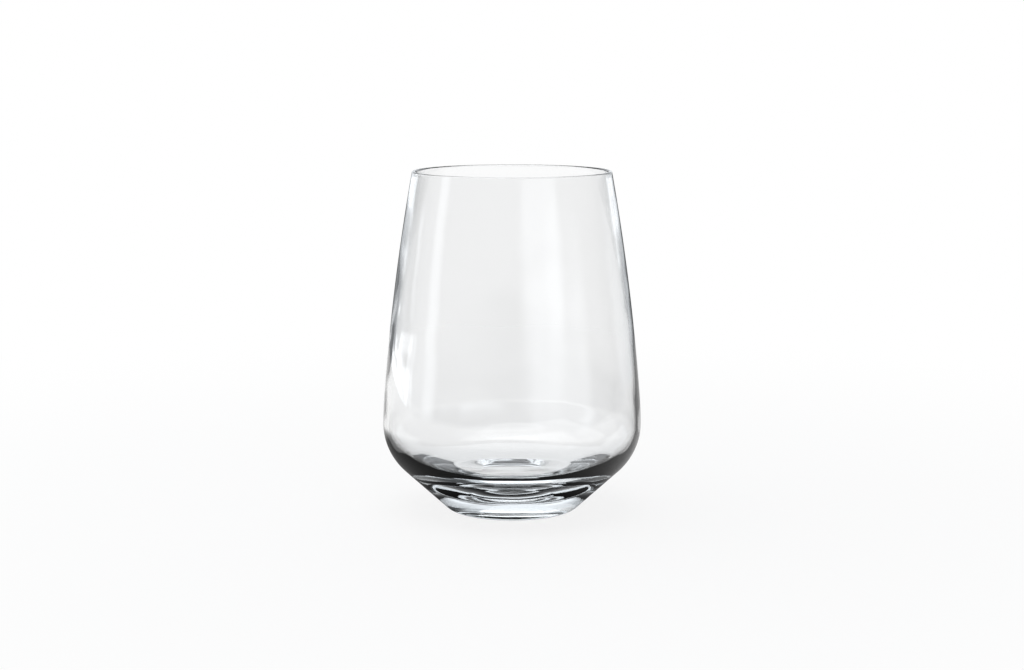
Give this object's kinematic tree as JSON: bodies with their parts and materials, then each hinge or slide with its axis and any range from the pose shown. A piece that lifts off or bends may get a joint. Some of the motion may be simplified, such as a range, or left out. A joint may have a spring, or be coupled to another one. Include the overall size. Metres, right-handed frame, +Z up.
{
  "type": "stemless wine glass",
  "caption": "Clear stemless wine glass: a thin bowl that narrows to a polished rim, on a thick solid base with a round shoulder, a steep cone and a flat foot.",
  "frame": {"origin": "centre of the foot, on the table that the glass stands on", "axes": "+Z up along the axis of the glass, towards the rim; X and Y are free, because the glass is round"},
  "size_m": [0.09, 0.09, 0.118],
  "materials": {
    "glass": "clear, smooth and fire-polished"
  },
  "bodies": {
    "root": {"bowl": "glass", "base": "glass"}
  },
  "joints": []
}
